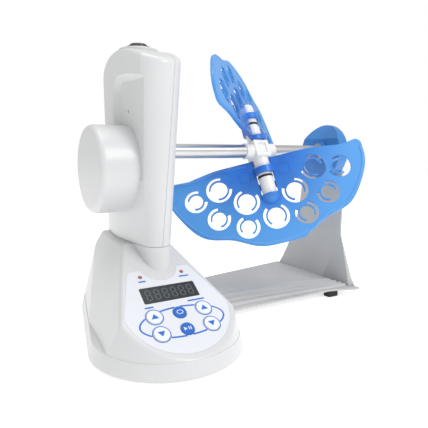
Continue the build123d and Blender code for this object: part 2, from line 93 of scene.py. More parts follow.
# ---- finishes -----------------------------------------------------------------------------
@dataclass(frozen=True)
class Finish:
    """One finish: its colour, gloss and surface grain.

    Away from the hub the colour pales to the paler colour given last: painted light, standing in
    for light shining through the translucent sheet and on its rim.
    """

    name: str
    colour: Colour
    roughness: float
    metallic: float = 0.0
    coat: float = 0.0
    grain: Grain = Grain.MOULDED
    grain_scale: float = 900.0
    grain_depth: float = 0.08
    variation: float = 0.06
    translucency: float = 0.0
    emission: float = 0.0
    # painted light: the paler colour the blue is painted with away from the hub
    painted_light_colour: Colour | None = None

    def build(self) -> bpy.types.Material:
        """Make the node material.

        Returns:
            A material with colour variation, uneven gloss and a fine relief.
        """
        material = bpy.data.materials.new(self.name)
        material.use_nodes = True
        nodes, links = material.node_tree.nodes, material.node_tree.links
        shader = nodes["Principled BSDF"]
        shader.inputs["Metallic"].default_value = self.metallic
        shader.inputs["Coat Weight"].default_value = self.coat
        shader.inputs["Coat Roughness"].default_value = 0.12
        place = nodes.new("ShaderNodeTexCoord")
        stretch = nodes.new("ShaderNodeMapping")
        along = BRUSH_STRETCH if self.grain is Grain.BRUSHED else 1
        stretch.inputs["Scale"].default_value = (along, 1, 1)
        links.new(place.outputs["Object"], stretch.inputs["Vector"])
        self._colour(nodes, links, place, shader)
        self._relief(nodes, links, stretch, shader)
        if self.translucency:
            shader.inputs["Subsurface Weight"].default_value = self.translucency
            shader.inputs["Subsurface Radius"].default_value = (0.002, 0.004, 0.008)
            shader.inputs["Subsurface Scale"].default_value = 0.6
        if self.emission:
            shader.inputs["Emission Color"].default_value = (*self.colour, 1)
            shader.inputs["Emission Strength"].default_value = self.emission
        return material

    def _colour(self, nodes: Nodes, links: Links, place: Node, shader: Node) -> None:
        """Cloud the colour a little, as moulding and handling do.

        Args:
            nodes: the material's nodes.
            links: the material's links.
            place: the texture coordinates.
            shader: the surface that takes the colour.
        """
        cloud = nodes.new("ShaderNodeTexNoise")
        cloud.inputs["Scale"].default_value = CLOUD_SCALE
        cloud.inputs["Detail"].default_value = 5.0
        links.new(place.outputs["Object"], cloud.inputs["Vector"])
        ramp = nodes.new("ShaderNodeValToRGB")
        dark = tuple(channel * (1 - self.variation) for channel in self.colour)
        light = tuple(min(1.0, channel * (1 + self.variation)) for channel in self.colour)
        ramp.color_ramp.elements[0].position = 0.3
        ramp.color_ramp.elements[0].color = (*dark, 1)
        ramp.color_ramp.elements[1].position = 0.7
        ramp.color_ramp.elements[1].color = (*light, 1)
        links.new(cloud.outputs["Fac"], ramp.inputs["Fac"])
        colour = ramp.outputs["Color"]
        # painted light: paler colour away from the hub
        if self.painted_light_colour:
            colour = self._pale_with_painted_light(nodes, links, place, colour)
        links.new(colour, shader.inputs["Base Color"])

    def _pale_with_painted_light(self, nodes: Nodes, links: Links, place: Node, colour: Socket) -> Socket:
        """Pale the colour away from the hub: painted light, standing in for the extra light that
        comes through the sheet there.

        Args:
            nodes: the material's nodes.
            links: the material's links.
            place: the texture coordinates.
            colour: the clouded colour.

        Returns:
            The paled colour.
        """
        low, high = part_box("hub_block")
        reach = nodes.new("ShaderNodeVectorMath")
        reach.operation = "DISTANCE"
        reach.inputs[1].default_value = [(a + b) / 2 for a, b in zip(low, high)]
        links.new(place.outputs["Object"], reach.inputs[0])
        fade = nodes.new("ShaderNodeMapRange")
        fade.interpolation_type = "SMOOTHSTEP"
        fade.inputs["From Min"].default_value = PAINTED_LIGHT_FROM
        fade.inputs["From Max"].default_value = PAINTED_LIGHT_TO
        links.new(reach.outputs["Value"], fade.inputs["Value"])
        mix = nodes.new("ShaderNodeMix")
        mix.data_type = "RGBA"
        mix.inputs["B"].default_value = (*self.painted_light_colour, 1)
        links.new(fade.outputs["Result"], mix.inputs["Factor"])
        links.new(colour, mix.inputs["A"])
        return mix.outputs["Result"]

    def _relief(self, nodes: Nodes, links: Links, stretch: Node, shader: Node) -> None:
        """Give the surface its grain and uneven gloss.

        Args:
            nodes: the material's nodes.
            links: the material's links.
            stretch: the texture coordinates, stretched along brushed metal.
            shader: the surface that takes the relief.
        """
        grain = nodes.new("ShaderNodeTexNoise")
        grain.inputs["Scale"].default_value = self.grain_scale
        grain.inputs["Detail"].default_value = 3.0
        links.new(stretch.outputs["Vector"], grain.inputs["Vector"])
        bump = nodes.new("ShaderNodeBump")
        bump.inputs["Strength"].default_value = self.grain_depth
        bump.inputs["Distance"].default_value = GRAIN_RELIEF
        links.new(grain.outputs["Fac"], bump.inputs["Height"])
        links.new(bump.outputs["Normal"], shader.inputs["Normal"])
        gloss = nodes.new("ShaderNodeMapRange")
        gloss.inputs["To Min"].default_value = self.roughness - GLOSS_SPREAD
        gloss.inputs["To Max"].default_value = self.roughness + GLOSS_SPREAD
        links.new(grain.outputs["Fac"], gloss.inputs["Value"])
        links.new(gloss.outputs["Result"], shader.inputs["Roughness"])


WHITE = Finish("white_moulding", (0.67, 0.675, 0.68), 0.34, coat=0.15, variation=0.015)
WHITE_FITTING = Finish("white_fitting", (0.80, 0.80, 0.79), 0.28, variation=0.02)
FILM = Finish("panel_film_print", (0.75, 0.77, 0.82), 0.48, grain_scale=2600,
              grain_depth=0.15, variation=0.012)
# the fans' blue pales away from the hub: painted light, not a change in the plastic
BLUE = Finish("blue_translucent_moulding", (0.010, 0.145, 0.58), 0.36, coat=0.1, variation=0.30,
              grain_scale=420, grain_depth=0.12, translucency=0.05, painted_light_colour=(0.085, 0.33, 0.76))
PALE_BLUE = Finish("blue_holder_moulding", (0.05, 0.24, 0.60), 0.36, coat=0.15, variation=0.12)
KEY_BLUE = Finish("blue_key_print", (0.008, 0.13, 0.56), 0.40, variation=0.05, grain_scale=2200)
LINE_BLUE = Finish("blue_line_print", (0.010, 0.15, 0.62), 0.45, variation=0.05, grain_scale=2200)
KEY_WHITE = Finish("white_key_print", (0.82, 0.85, 0.90), 0.42, variation=0.015, grain_scale=2200)
BLACK_GLOSS = Finish("black_button_moulding", (0.018, 0.014, 0.014), 0.22, coat=0.4, variation=0.3)
BLACK_RUBBER = Finish("black_rubber", (0.018, 0.018, 0.018), 0.75, grain_depth=0.4, variation=0.2)
DARK_PLASTIC = Finish("dark_moulding", (0.03, 0.03, 0.034), 0.5, grain_depth=0.2, variation=0.2)
GLASS = Finish("display_tint", (0.016, 0.020, 0.024), 0.30, variation=0.15, grain_depth=0.01)
SEGMENT = Finish("display_segment", (0.10, 0.125, 0.14), 0.35, variation=0.1, grain_depth=0.02)
LENS = Finish("light_lens_resin", (0.42, 0.13, 0.09), 0.25, coat=0.5, variation=0.15)
BOARD = Finish("solder_mask", (0.02, 0.16, 0.07), 0.4, variation=0.2)
BUSH = Finish("bush_resin", (0.62, 0.60, 0.54), 0.45, variation=0.05)
BRASS = Finish("machined_brass", (0.72, 0.52, 0.22), 0.3, metallic=1.0, variation=0.1)
STEEL = Finish("plated_steel", (0.56, 0.57, 0.58), 0.3, metallic=1.0, grain=Grain.BRUSHED)
ROD_STEEL = Finish("drawn_rod_steel", (0.66, 0.65, 0.64), 0.36, metallic=1.0, grain=Grain.BRUSHED,
                   grain_scale=1800, grain_depth=0.12, variation=0.05)
PAINT = Finish("stand_texture_paint", (0.56, 0.56, 0.555), 0.46, grain=Grain.SPRAYED,
               grain_scale=1500, grain_depth=0.35, variation=0.035)
GREY = Finish("grey_cover_moulding", (0.36, 0.37, 0.38), 0.55, grain_depth=0.25, variation=0.05)
FLOOR = Finish("floor_paper", (0.90, 0.90, 0.90), 0.85, grain_scale=300, grain_depth=0.02,
               variation=0.004, emission=0.5)

NODE_FINISHES: dict[Finish, tuple[str, ...]] = {
    WHITE: ("base_housing", "tower_shell_left", "tower_shell_right", "top_collar"),
    WHITE_FITTING: ("hub_block", "spoke_lower", "spoke_upper"),
    FILM: ("panel_film",),
    BLUE: ("fan_lower", "fan_upper"),
    PALE_BLUE: ("end_holder",),
    KEY_BLUE: ("key_5", "key_6"),
    KEY_WHITE: ("key_1", "key_2", "key_3", "key_4"),
    BLACK_GLOSS: ("top_button",),
    BLACK_RUBBER: ("base_feet", "stand_feet", "o_ring_lower", "o_ring_upper"),
    DARK_PLASTIC: ("display_module", "power_inlet"),
    GLASS: ("display_window",),
    LENS: ("status_lights",),
    BOARD: ("control_board",),
    BUSH: ("tower_bush", "end_bush", "rod_gear"),
    BRASS: ("motor_pinion",),
    STEEL: ("motor", "drive_frame", "cover_screws", "stand_screws", "holder_screws"),
    ROD_STEEL: ("rod",),
    PAINT: ("stand",),
    GREY: ("base_cover",),
}


class Wardrobe:
    """Keeps one material for each finish."""

    def __init__(self) -> None:
        """Start with no material made."""
        self._made: dict[str, bpy.types.Material] = {}

    def get(self, finish: Finish) -> bpy.types.Material:
        """Make or find a finish's material.

        Args:
            finish: the finish wanted.

        Returns:
            Its material, made once.
        """
        if finish.name not in self._made:
            self._made[finish.name] = finish.build()
        return self._made[finish.name]

    def dress(self, piece: bpy.types.Object, finish: Finish) -> None:
        """Put one finish all over a piece.

        Args:
            piece: the piece to dress.
            finish: what it is dressed in.
        """
        material = self.get(finish)
        if not piece.material_slots:
            piece.data.materials.append(material)
        for slot in piece.material_slots:
            slot.material = material


# ---- workshop: how pieces are modelled ----------------------------------------------------
class Bench:
    """Modelling steps shared by the pieces."""

    @staticmethod
    def clear() -> None:
        """Leave edit mode and deselect everything."""
        if bpy.context.object and bpy.context.object.mode != "OBJECT":
            bpy.ops.object.mode_set(mode="OBJECT")
        bpy.ops.object.select_all(action="DESELECT")

    @classmethod
    def ring(cls, name: str, radii: tuple[float, float], width: float, height: float,
             vertices: int = 96) -> bpy.types.Object:
        """Flat raised ring around the origin, round or oval.

        Args:
            name: the piece's name.
            radii: half sizes of its outside, across and up.
            width: how wide the line is.
            height: how far it stands up.
            vertices: points around it.

        Returns:
            The ring, lying on its own XY plane.
        """
        cls.clear()
        bpy.ops.mesh.primitive_circle_add(vertices=vertices, radius=1.0, fill_type="NOTHING")
        piece = bpy.context.object
        piece.name = name
        bpy.ops.object.mode_set(mode="EDIT")
        bpy.ops.mesh.select_all(action="SELECT")
        bpy.ops.transform.resize(value=(radii[0], radii[1], 1))
        bpy.ops.mesh.extrude_edges_move()
        inner = [(radius - width) / radius for radius in radii]
        bpy.ops.transform.resize(value=(*inner, 1))
        bpy.ops.mesh.select_all(action="SELECT")
        bpy.ops.mesh.extrude_region_move(TRANSFORM_OT_translate={"value": (0, 0, height)})
        bpy.ops.mesh.select_all(action="SELECT")
        bpy.ops.mesh.normals_make_consistent(inside=False)
        bpy.ops.object.mode_set(mode="OBJECT")
        return piece

    @classmethod
    def slab(cls, name: str, outline: Iterable[tuple[float, float]],
             height: float) -> bpy.types.Object:
        """Thin slab of any flat outline.

        Args:
            name: the piece's name.
            outline: its corners, counter-clockwise.
            height: its thickness.

        Returns:
            The slab, standing on its own XY plane.
        """
        cls.clear()
        corners = list(outline)
        bpy.ops.mesh.primitive_circle_add(vertices=len(corners), radius=1.0, fill_type="NGON")
        piece = bpy.context.object
        piece.name = name
        for vertex, (x, y) in zip(piece.data.vertices, corners):
            vertex.co = (x, y, 0)
        bpy.ops.object.mode_set(mode="EDIT")
        bpy.ops.mesh.select_all(action="SELECT")
        bpy.ops.mesh.extrude_region_move(TRANSFORM_OT_translate={"value": (0, 0, height)})
        bpy.ops.mesh.select_all(action="SELECT")
        bpy.ops.mesh.normals_make_consistent(inside=False)
        bpy.ops.object.mode_set(mode="OBJECT")
        return piece

    @classmethod
    def bevel(cls, piece: bpy.types.Object, width: float, segments: int = 2) -> None:
        """Round a piece's edges with a bevel, applied.

        Args:
            piece: the piece to soften.
            width: width of the rounding.
            segments: faces across it.
        """
        cls.clear()
        piece.select_set(True)
        bpy.context.view_layer.objects.active = piece
        modifier = piece.modifiers.new("soft_edges", "BEVEL")
        modifier.width = width
        modifier.segments = segments
        modifier.limit_method = "ANGLE"
        bpy.ops.object.modifier_apply(modifier=modifier.name)

    @classmethod
    def tube(cls, name: str, path: list[Vector], section: tuple[float, float], normal: Vector,
             closed: bool) -> bpy.types.Object:
        """Rod of oval section along a path, its ends closed flat.

        Args:
            name: the piece's name.
            path: points on the rod's centre line.
            section: half size across the path in its plane, and along the normal.
            normal: direction square to the path's plane.
            closed: whether the last point joins the first.

        Returns:
            The rod as one closed mesh.
        """
        cls.clear()
        around = TUBE_SIDES
        count = len(path)
        points: list[Vector] = []
        for index, point in enumerate(path):
            before = path[(index - 1) % count] if closed or index else point
            after = path[(index + 1) % count] if closed or index < count - 1 else point
            side = (after - before).normalized().cross(normal).normalized()
            for step in range(around):
                turn = 2 * math.pi * step / around
                points.append(point + side * section[0] * math.cos(turn)
                              + normal * section[1] * math.sin(turn))
        faces = []
        for index in range(count if closed else count - 1):
            following = (index + 1) % count
            for step in range(around):
                beside = (step + 1) % around
                faces.append((index * around + step, index * around + beside,
                              following * around + beside, following * around + step))
        if not closed:
            faces.append(tuple(range(around)))
            faces.append(tuple((count - 1) * around + step for step in range(around)))
        mesh = bpy.data.meshes.new(name)
        mesh.from_pydata([tuple(point) for point in points], [], faces)
        piece = bpy.data.objects.new(name, mesh)
        bpy.context.collection.objects.link(piece)
        cls.outward(piece)
        return piece

    @classmethod
    def outward(cls, piece: bpy.types.Object) -> None:
        """Turn every face outwards.

        Args:
            piece: the piece to set right.
        """
        cls.clear()
        piece.select_set(True)
        bpy.context.view_layer.objects.active = piece
        bpy.ops.object.mode_set(mode="EDIT")
        bpy.ops.mesh.select_all(action="SELECT")
        bpy.ops.mesh.normals_make_consistent(inside=False)
        bpy.ops.object.mode_set(mode="OBJECT")

    @classmethod
    def smooth(cls, piece: bpy.types.Object, degrees: float = 35.0) -> None:
        """Shade a piece smooth up to an angle.

        Args:
            piece: the piece to shade.
            degrees: sharpest fold that still looks smooth.
        """
        cls.clear()
        piece.select_set(True)
        bpy.context.view_layer.objects.active = piece
        bpy.ops.object.shade_smooth_by_angle(angle=math.radians(degrees))

    @classmethod
    def join(cls, pieces: list[bpy.types.Object], name: str) -> bpy.types.Object:
        """Join pieces into one mesh.

        Args:
            pieces: what to join.
            name: the joined piece's name.

        Returns:
            The joined piece.
        """
        cls.clear()
        for piece in pieces:
            piece.select_set(True)
        bpy.context.view_layer.objects.active = pieces[0]
        if len(pieces) > 1:
            bpy.ops.object.join()
        pieces[0].name = name
        return pieces[0]

    @staticmethod
    def place(piece: bpy.types.Object, matrix: Matrix) -> None:
        """Move a piece's mesh to its place and leave its object at the origin.

        Args:
            piece: the piece to move.
            matrix: where it goes.
        """
        piece.data.transform(matrix @ piece.matrix_world)
        piece.matrix_world = Matrix.Identity(4)
        piece.data.update()


# ---- the machine's own axes ---------------------------------------------------------------
@dataclass
class Machine:
    """Places on the machine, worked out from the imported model."""

    rod_end_mm: float = 272.0
    hub_mm: float = 160.2
    panel_tilt: float = math.radians(33.3)
    panel_lip_mm: Point = (0.0, -141.6, 17.7)
    spoke_angle: float = math.radians(63.0)
    twists: dict[Side, float] = field(
        default_factory=lambda: {Side.LOWER: math.radians(-32.8), Side.UPPER: math.radians(-39.0)})

    def __post_init__(self) -> None:
        """Find the point that the machine's own millimetres count from."""
        low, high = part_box("rod")
        self.zero = Vector((high[0] - self.rod_end_mm * MM, (low[1] + high[1]) / 2, 0))
        self.rod_height = (low[2] + high[2]) / 2

    def at(self, x: float, y: float, z: float) -> Vector:
        """Find a point of the frame.

        Args:
            x: millimetres along the rod, from the panel's middle.
            y: millimetres behind the rod's axis.
            z: millimetres above the table.

        Returns:
            The point, in metres.
        """
        return self.zero + Vector((x, y, z)) * MM

    def panel(self, lift_mm: float = 0.0) -> Matrix:
        """Frame of the control panel, with Y up its slope.

        Args:
            lift_mm: how far off the panel it lies.

        Returns:
            The frame's matrix.
        """
        tilt = self.panel_tilt
        up = Vector((0, math.cos(tilt), math.sin(tilt)))
        out = Vector((0, -math.sin(tilt), math.cos(tilt)))
        origin = self.at(*self.panel_lip_mm) + out * lift_mm * MM
        return frame_matrix(origin, Vector((1, 0, 0)), up, out)

    def fan(self, side: Side) -> Matrix:
        """Frame of a fan: X across it, Y along its spoke, Z out of its back.

        Args:
            side: which fan.

        Returns:
            The frame's matrix.
        """
        turn = self.spoke_angle + (math.pi if side is Side.LOWER else 0.0)
        along = Vector((0, math.cos(turn), math.sin(turn)))
        base = Vector((1, 0, 0))
        twist = self.twists[side]
        across = base * math.cos(twist) + base.cross(along) * math.sin(twist)
        origin = Vector((self.at(self.hub_mm, 0, 0).x, self.zero.y, self.rod_height))
        return frame_matrix(origin, across, along, across.cross(along))


def frame_matrix(origin: Vector, x: Vector, y: Vector, z: Vector) -> Matrix:
    """Matrix of a frame.

    Args:
        origin: where it stands.
        x: its first direction.
        y: its second direction.
        z: its third direction.

    Returns:
        The matrix that moves a piece into the frame.
    """
    turned = Matrix((x, y, z)).transposed().to_4x4()
    return Matrix.Translation(origin) @ turned


@dataclass
class Assembly:
    """What every sub-assembly needs: the machine's places and the finishes."""

    machine: Machine
    wardrobe: Wardrobe

    def fit(self, piece: bpy.types.Object, matrix: Matrix, body: str, slot: str,
            finish: Finish) -> None:
        """Place, dress and mount a piece.

        Args:
            piece: the finished piece, modelled at the origin.
            matrix: where it goes.
            body: the moving body that carries it.
            slot: name of a material slot; not used.
            finish: what it is dressed in.
        """
        Bench.place(piece, matrix)
        Bench.smooth(piece)
        self.wardrobe.dress(piece, finish)
        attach(piece, body)
        log.info("piece %s on %s", piece.name, body)


# ---- control panel ------------------------------------------------------------------------
@dataclass
class ControlPanel(Assembly):
    """Printed lines, key symbols and display digits, in millimetres on the panel."""

    arrow_keys: tuple[tuple[float, float, float], ...] = (
        (-24, 43.7, 1), (24, 43.7, 1), (-24, 25.8, -1), (24, 25.8, -1))
    loop_key: tuple[float, float] = (0, 43.7)
    start_key: tuple[float, float] = (0, 25.8)
    oval_centre: tuple[float, float] = (0, 34.75)
    oval_radii: tuple[float, float] = (40.0, 15.3)
    key_ring: float = 8.3
    round_key_clear: float = 6.8
    line: float = 0.8
    print_height: float = 0.06
    line_lift: float = 0.01
    ring_lift: float = 0.02
    key_top: float = 1.0
    arrow_half: float = 3.5
    arrow_tall: float = 2.9
    arrow_foot: float = 0.8
    loop_radii: tuple[float, float] = (3.1, 2.3)
    loop_line: float = 0.6
    start_corners: tuple[tuple[float, float], ...] = ((-3.4, -1.8), (-0.4, 0), (-3.4, 1.8))
    stop_bars: tuple[float, float] = (1.2, 3.0)
    stop_size: tuple[float, float] = (0.8, 3.4)
    display: tuple[float, float, float, float] = (0, 67.6, 54.4, 17.7)
    digit_count: int = 6
    digit_room: float = 6.6
    digit_width: float = 4.4
    digit_height: float = 0.62
    digit_line: float = 0.95
    digit_gap: float = 1.2
    digit_depth: float = -0.09
    marks: tuple[tuple[float, float, float], ...] = (
        (-21.2, 84.4, 7.0), (21.2, 84.4, 10.0), (-25.0, 54.4, 8.0), (21.0, 54.4, 17.0))
    mark_height: float = 1.6

    def on_panel(self, x: float, y: float, lift: float) -> Matrix:
        """Find the frame at a point of the panel.

        Args:
            x: millimetres across the panel.
            y: millimetres up the panel.
            lift: millimetres off the panel.

        Returns:
            The frame's matrix, in metres.
        """
        return self.machine.panel(lift) @ Matrix.Translation((x * MM, y * MM, 0))

    def build(self) -> None:
        """Make everything printed on the panel."""
        self.oval_line()
        self.key_rings()
        self.arrows()
        self.loop_symbol()
        self.start_symbol()
        self.digits()
        self.captions()

    def oval_line(self) -> None:
        """Blue line that joins the keys, in arcs between them."""
        rx, ry = self.oval_radii
        cx, cy = self.oval_centre
        arcs: list[list[float]] = [[]]
        for step in range(361):
            turn = math.radians(step)
            if self.is_clear(cx + rx * math.cos(turn), cy + ry * math.sin(turn)):
                arcs[-1].append(turn)
            elif arcs[-1]:
                arcs.append([])
        parts = []
        for number, turns in enumerate(arc for arc in arcs if len(arc) > 2):
            outer = [self.oval_point(turn, self.line) for turn in turns]
            inner = [self.oval_point(turn, -self.line) for turn in turns]
            parts.append(Bench.slab(f"oval_arc_{number}", outer + inner[::-1],
                                    self.print_height * MM))
        line = Bench.join(parts, "panel_oval_line")
        self.fit(line, self.on_panel(cx, cy, self.line_lift), "root", "key_blue", LINE_BLUE)

    def oval_point(self, turn: float, offset: float) -> tuple[float, float]:
        """Point beside the oval's line.

        Args:
            turn: its angle around the oval.
            offset: how far out of the line it is, in millimetres.

        Returns:
            The point from the oval's middle, in metres.
        """
        rx, ry = self.oval_radii
        return ((rx + offset) * math.cos(turn) * MM, (ry + offset) * math.sin(turn) * MM)

    def is_clear(self, x: float, y: float) -> bool:
        """Whether a point of the oval is outside every key.

        Args:
            x: millimetres across the panel.
            y: millimetres up the panel.

        Returns:
            True where the line is printed.
        """
        for kx, ky, _ in self.arrow_keys:
            if math.hypot(x - kx, y - ky) < self.key_ring:
                return False
        return all(math.hypot(x - kx, y - ky) > self.round_key_clear
                   for kx, ky in (self.loop_key, self.start_key))

    def key_rings(self) -> None:
        """Blue ring around each arrow key."""
        for number, (x, y, _) in enumerate(self.arrow_keys, start=1):
            ring = Bench.ring(f"key_outline_{number}", (self.key_ring * MM,) * 2, self.line * MM,
                              self.print_height * MM)
            self.fit(ring, self.on_panel(x, y, self.ring_lift), "root", "key_blue", LINE_BLUE)

    def arrows(self) -> None:
        """Solid triangle on each arrow key."""
        for number, (x, y, way) in enumerate(self.arrow_keys, start=1):
            half, tall = self.arrow_half * MM, self.arrow_tall * MM
            foot = -tall * way * self.arrow_foot
            corners = [(-half, foot), (half, foot), (0, tall * way)]
            if way < 0:
                corners.reverse()
            arrow = Bench.slab(f"key_arrow_{number}", corners, self.print_height * MM)
            self.fit(arrow, self.on_panel(x, y, self.key_top), f"key_body_{number}", "key_blue",
                     LINE_BLUE)

    def loop_symbol(self) -> None:
        """White open ring on the upper round key."""
        x, y = self.loop_key
        radii = tuple(radius * MM for radius in self.loop_radii)
        ring = Bench.ring("key_loop_symbol", radii, self.loop_line * MM, self.print_height * MM, 48)
        self.fit(ring, self.on_panel(x, y, self.key_top), "key_body_5", "key_white", KEY_WHITE)

    def start_symbol(self) -> None:
        """White triangle and bars on the lower round key."""
        x, y = self.start_key
        corners = [(across * MM, up * MM) for across, up in self.start_corners]
        triangle = Bench.slab("start_triangle", corners, self.print_height * MM)
        bars = [self.bar(f"stop_bar_{side}", (side, 0), self.stop_size) for side in self.stop_bars]
        symbol = Bench.join([triangle, *bars], "key_start_symbol")
        self.fit(symbol, self.on_panel(x, y, self.key_top), "key_body_6", "key_white", KEY_WHITE)

    def bar(self, name: str, middle: tuple[float, float],
            size: tuple[float, float]) -> bpy.types.Object:
        """Make a small printed rectangle.

        Args:
            name: the piece's name.
            middle: its centre, in millimetres.
            size: its width and height, in millimetres.

        Returns:
            The rectangle, standing on its own XY plane.
        """
        x, y = middle[0] * MM, middle[1] * MM
        half, tall = size[0] / 2 * MM, size[1] / 2 * MM
        corners = [(x - half, y - tall), (x + half, y - tall),
                   (x + half, y + tall), (x - half, y + tall)]
        return Bench.slab(name, corners, self.print_height * MM)

    def digits(self) -> None:
        """Six unlit seven-segment digits behind the tinted window."""
        x, y, width, _ = self.display
        step = width / self.digit_room
        parts = []
        for number in range(self.digit_count):
            parts += self.segments(number, (number - (self.digit_count - 1) / 2) * step)
        digits = Bench.join(parts, "display_digits")
        self.fit(digits, self.on_panel(x, y, self.digit_depth), "root", "display_glass", SEGMENT)

    def segments(self, number: int, centre: float) -> list[bpy.types.Object]:
        """Make the seven bars of one digit.

        Args:
            number: which digit, from the left.
            centre: its middle, in millimetres from the display's.

        Returns:
            Its bars.
        """
        width, thin, gap = self.digit_width, self.digit_line, self.digit_gap
        height = self.display[3] * self.digit_height
        parts = [self.bar(f"digit_{number}_level_{level}", (centre, level * height / 2),
                          (width - gap, thin)) for level in (-1, 0, 1)]
        for side in (-1, 1):
            for level in (-1, 1):
                middle = (centre + side * width / 2, level * height / 4)
                parts.append(self.bar(f"digit_{number}_side_{side}_{level}", middle,
                                      (thin, height / 2 - gap)))
        return parts

    def captions(self) -> None:
        """Plain printed dashes beside the lights and under the display."""
        for number, (x, y, width) in enumerate(self.marks, start=1):
            mark = self.bar(f"panel_mark_{number}", (0, 0), (width, self.mark_height))
            self.fit(mark, self.on_panel(x, y, self.line_lift), "root", "key_blue", LINE_BLUE)


# ---- fans ---------------------------------------------------------------------------------
@dataclass
class FanTrim(Assembly):
    """Thick rim, rounded spring arms and moulded pads of one fan, in millimetres on the fan."""

    side: Side = Side.LOWER
    small: tuple[float, float] = (10.2, 8.3)
    big: tuple[float, float] = (12.1, 10.3)
    rim_inset: float = 2.6
    rim_section: tuple[float, float] = (2.3, 2.4)
    arm_section: tuple[float, float] = (1.05, 2.1)
    mouth: float = math.radians(46)
    half_clips: tuple[tuple[float, float, bool], ...] = (
        (87.6, 43.4, False), (57.7, 36.2, True), (29.3, 59.0, True), (65.8, 70.9, False),
        (35.0, 88.8, False))
    middle_clip: tuple[float, float, bool] = (0, 83.8, True)
    far_edge: tuple[tuple[float, float], ...] = (
        (121, 26), (119.5, 42), (107, 67), (84, 91.5), (57, 99.5), (30, 113), (0, 116.5))
    near_edge: tuple[tuple[float, float], ...] = (
        (-116, 15.5), (-86, 16), (-61, 12.4), (-43, 12), (-20, 12))
    edge_steps: int = 8
    out: Vector = field(default_factory=lambda: Vector((0, 0, 1)))
    fan_middle: float = 55.0
    pad_half: float = 6.2
    pad_place: tuple[float, float] = (24, 29)
    pad_corner: float = 2.4
    pad_section: tuple[float, float] = (0.45, 1.85)

    def build(self) -> None:
        """Make the trim of the fan."""
        self.rim()
        self.arms()
        self.pads()

    def clips(self) -> list[tuple[float, float, tuple[float, float]]]:
        """List all eleven clips.

        Returns:
            Each one's centre, and its outer and inner radius.
        """
        mirrored = tuple((-x, y, is_big) for x, y, is_big in self.half_clips)
        return [(x, y, self.big if is_big else self.small)
                for x, y, is_big in (*self.half_clips, *mirrored, self.middle_clip)]

    def outline(self) -> list[Vector]:
        """Follow the fan's edge, open where the spoke comes in.

        Returns:
            A smooth run just inside the edge, in metres.
        """
        mirrored = [(-x, y) for x, y in self.far_edge[-2::-1]]
        smooth = catmull([*self.far_edge, *mirrored, *self.near_edge], self.edge_steps)
        centre = Vector((0, self.fan_middle, 0))
        inset = []
        for index, point in enumerate(smooth):
            before, after = smooth[max(index - 1, 0)], smooth[min(index + 1, len(smooth) - 1)]
            side = (after - before).normalized().cross(Vector((0, 0, 1)))
            if side.dot(centre - point) < 0:
                side = -side
            inset.append((point + side * self.rim_inset) * MM)
        return inset

    def add(self, piece: bpy.types.Object) -> None:
        """Fit a piece, modelled on the fan's plane, to its fan.

        Args:
            piece: the finished piece.
        """
        body = f"{self.side.value}_fan"
        self.fit(piece, self.machine.fan(self.side), body, "blue_plastic", BLUE)

    def rim(self) -> None:
        """Rounded bead along the outer edge."""
        section = tuple(size * MM for size in self.rim_section)
        name = f"fan_rim_{self.side.value}"
        self.add(Bench.tube(name, self.outline(), section, self.out, False))

    def arms(self) -> None:
        """Rounded arms of every clip."""
        parts = []
        for number, (x, y, (outer, inner)) in enumerate(self.clips()):
            away = math.atan2(y, x)
            middle = (outer + inner) / 2
            path = []
            for step in range(ARM_STEPS + 1):
                turn = away + self.mouth + (2 * math.pi - 2 * self.mouth) * step / ARM_STEPS
                place = Vector((x + middle * math.cos(turn), y + middle * math.sin(turn), 0))
                path.append(place * MM)
            section = tuple(size * MM for size in self.arm_section)
            parts.append(Bench.tube(f"arm_{number}", path, section, self.out, False))
        self.add(Bench.join(parts, f"clip_arms_{self.side.value}"))

    def pads(self) -> None:
        """Two plain rounded squares moulded beside the spoke."""
        for sign in (-1, 1):
            name = f"fan_pad_{self.side.value}_{'left' if sign < 0 else 'right'}"
            across, up = self.pad_place
            middle = Vector((sign * across, up, 0))
            corners = [middle + Vector((right, above, 0)) * self.pad_half
                       for right, above in ((1, 1), (-1, 1), (-1, -1), (1, -1))]
            path = [point * MM for point in rounded_loop(corners, self.pad_corner)]
            section = tuple(size * MM for size in self.pad_section)
            self.add(Bench.tube(name, path, section, self.out, True))


def catmull(points: list[tuple[float, float]], steps: int) -> list[Vector]:
    """Smooth a run of points, open at its ends.

    Args:
        points: what the run passes through.
        steps: points made for each stretch.

    Returns:
        The smooth run.
    """
    run = [Vector((x, y, 0)) for x, y in points]
    padded = [run[0], *run, run[-1]]
    smooth = []
    for index in range(1, len(padded) - 2):
        a, b, c, d = padded[index - 1:index + 3]
        for step in range(steps):
            t = step / steps
            smooth.append(0.5 * (2 * b + (c - a) * t + (2 * a - 5 * b + 4 * c - d) * t ** 2
                                 + (3 * b - a - 3 * c + d) * t ** 3))
    smooth.append(run[-1])
    return smooth


def rounded_loop(corners: list[Vector], radius: float) -> list[Vector]:
    """Round the corners of a closed run.

    Args:
        corners: its corners, in order.
        radius: how far from a corner the rounding starts.

    Returns:
        The rounded run.
    """
    path = []
    for index, corner in enumerate(corners):
        before = (corners[index - 1] - corner).normalized()
        after = (corners[(index + 1) % len(corners)] - corner).normalized()
        for step in range(CORNER_STEPS + 1):
            t = step / CORNER_STEPS
            start, end = corner + before * radius, corner + after * radius
            path.append(start * (1 - t) ** 2 + corner * 2 * t * (1 - t) + end * t ** 2)
    return path


